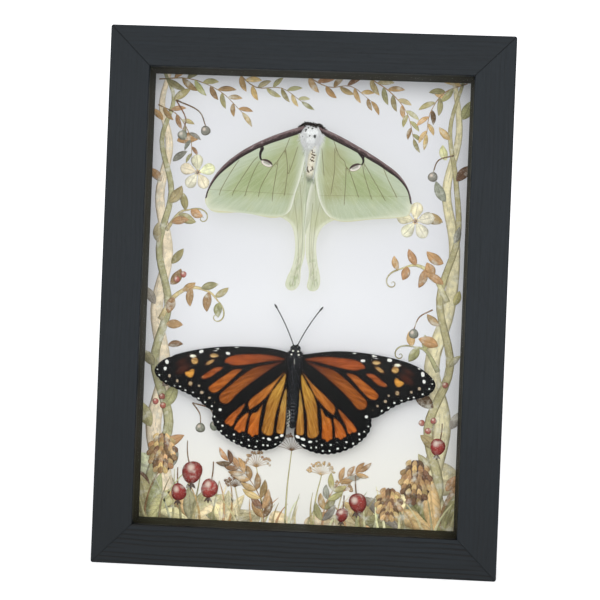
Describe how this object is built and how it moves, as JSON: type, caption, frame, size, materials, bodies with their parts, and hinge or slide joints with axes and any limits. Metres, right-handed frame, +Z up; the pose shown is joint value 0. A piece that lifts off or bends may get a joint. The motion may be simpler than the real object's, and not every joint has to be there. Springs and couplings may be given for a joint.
{
  "type": "butterfly display case",
  "caption": "Small dark wooden wall case with glass front: a pale green moth above an orange and black butterfly, pinned over a printed leafy backdrop.",
  "frame": {"origin": "middle of the frame's bottom face, on which the case can stand", "axes": "+X to the right seen from the front, +Y from the front to the back, +Z up"},
  "size_m": [0.152, 0.0285, 0.2028],
  "materials": {
    "stained_wood": "matt charcoal stain over straight grain",
    "dark_liner": "matt dark olive-grey strip",
    "clear_glass": "clear picture glass",
    "printed_paper": "matt printed paper",
    "foam_board": "white paper-faced foam board",
    "hardboard": "brown hardboard",
    "insect_body_dark": "dark brown scales",
    "insect_body_white": "white furry scales",
    "insect_body_tan": "tan furry scales",
    "insect_body_black": "black scales",
    "wing_pale_green": "pale green scales, matt",
    "wing_orange_black": "orange cells between black veins, matt",
    "pin_steel": "drawn steel",
    "zinc_steel": "zinc-plated pressed steel",
    "fastener_steel": "zinc-plated steel"
  },
  "bodies": {
    "case": {"frame_rail_top": "stained_wood", "frame_rail_bottom": "stained_wood", "frame_rail_left": "stained_wood", "frame_rail_right": "stained_wood", "corner_v_nails": "fastener_steel", "glass_pane": "clear_glass", "liner_top": "dark_liner", "liner_bottom": "dark_liner", "liner_left": "dark_liner", "liner_right": "dark_liner", "backdrop_print": "printed_paper", "foam_board": "foam_board", "back_panel": "hardboard", "luna_head": "insect_body_dark", "luna_thorax": "insect_body_white", "luna_abdomen": "insect_body_tan", "luna_forewing_left": "wing_pale_green", "luna_forewing_right": "wing_pale_green", "luna_hindwing_left": "wing_pale_green", "luna_hindwing_right": "wing_pale_green", "luna_pin": "pin_steel", "monarch_head": "insect_body_black", "monarch_thorax": "insect_body_black", "monarch_abdomen": "insect_body_black", "monarch_forewing_left": "wing_orange_black", "monarch_forewing_right": "wing_orange_black", "monarch_hindwing_left": "wing_orange_black", "monarch_hindwing_right": "wing_orange_black", "monarch_antenna_left": "insect_body_black", "monarch_antenna_right": "insect_body_black", "monarch_pin": "pin_steel", "turn_button_screws": "fastener_steel", "sawtooth_hanger": "zinc_steel", "hanger_nails": "fastener_steel"},
    "button_left_lower": {"turn_button_left_lower": "zinc_steel"},
    "button_left_upper": {"turn_button_left_upper": "zinc_steel"},
    "button_right_lower": {"turn_button_right_lower": "zinc_steel"},
    "button_right_upper": {"turn_button_right_upper": "zinc_steel"}
  },
  "joints": [
    {"name": "left_lower_turn", "type": "hinge", "parent": "case", "child": "button_left_lower", "pos_m": [-0.06995, 0.01265, 0.044], "axis": [0, 1, 0], "continuous": true},
    {"name": "left_upper_turn", "type": "hinge", "parent": "case", "child": "button_left_upper", "pos_m": [-0.06995, 0.01265, 0.1588], "axis": [0, 1, 0], "continuous": true},
    {"name": "right_lower_turn", "type": "hinge", "parent": "case", "child": "button_right_lower", "pos_m": [0.06995, 0.01265, 0.044], "axis": [0, 1, 0], "continuous": true},
    {"name": "right_upper_turn", "type": "hinge", "parent": "case", "child": "button_right_upper", "pos_m": [0.06995, 0.01265, 0.1588], "axis": [0, 1, 0], "continuous": true}
  ]
}
